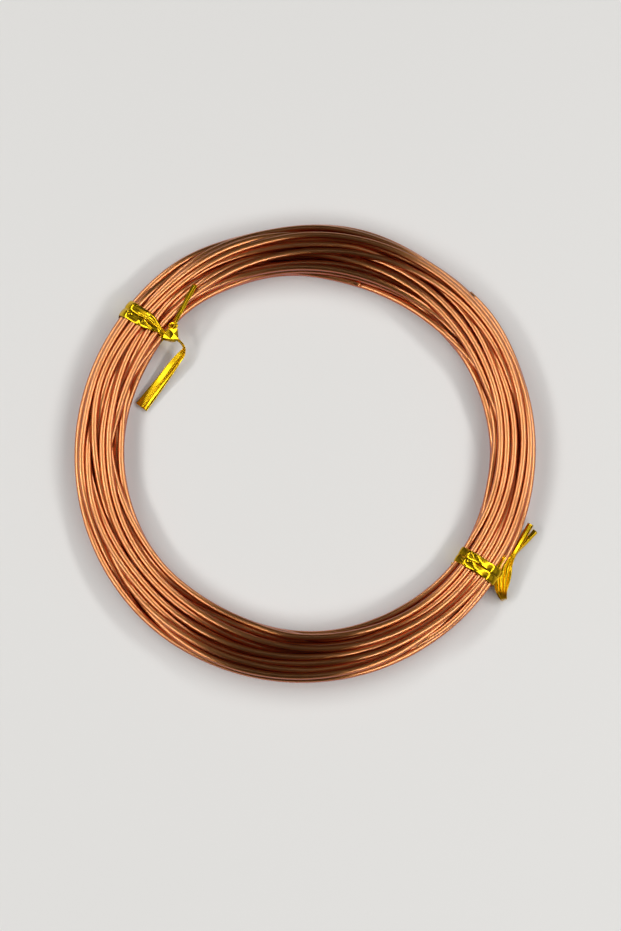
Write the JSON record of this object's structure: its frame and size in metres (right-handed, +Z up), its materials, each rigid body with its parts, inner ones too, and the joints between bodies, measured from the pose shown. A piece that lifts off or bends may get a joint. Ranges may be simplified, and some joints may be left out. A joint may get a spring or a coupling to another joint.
{
  "type": "coil of enameled copper wire",
  "caption": "Flat round coil of enamelled copper wire with an open eye, its turns bound by gold foil twist ties knotted at the inner and the outer edge.",
  "frame": {"origin": "centre of the coil's eye, on the floor that the coil lies on", "axes": "+Z up, along the coil's axis; +X towards the coil's right edge, between the outer knot's tail and the outer cut end of the wire; +Y towards the far edge"},
  "size_m": [0.1399, 0.14, 0.0097],
  "materials": {
    "copper": "bright drawn copper under clear amber enamel",
    "gold_foil": "creased gold foil over a thin core wire"
  },
  "bodies": {
    "root": {"wire_coil": "copper", "tie_knotted_inside": "gold_foil", "tie_knotted_outside": "gold_foil"}
  },
  "joints": []
}
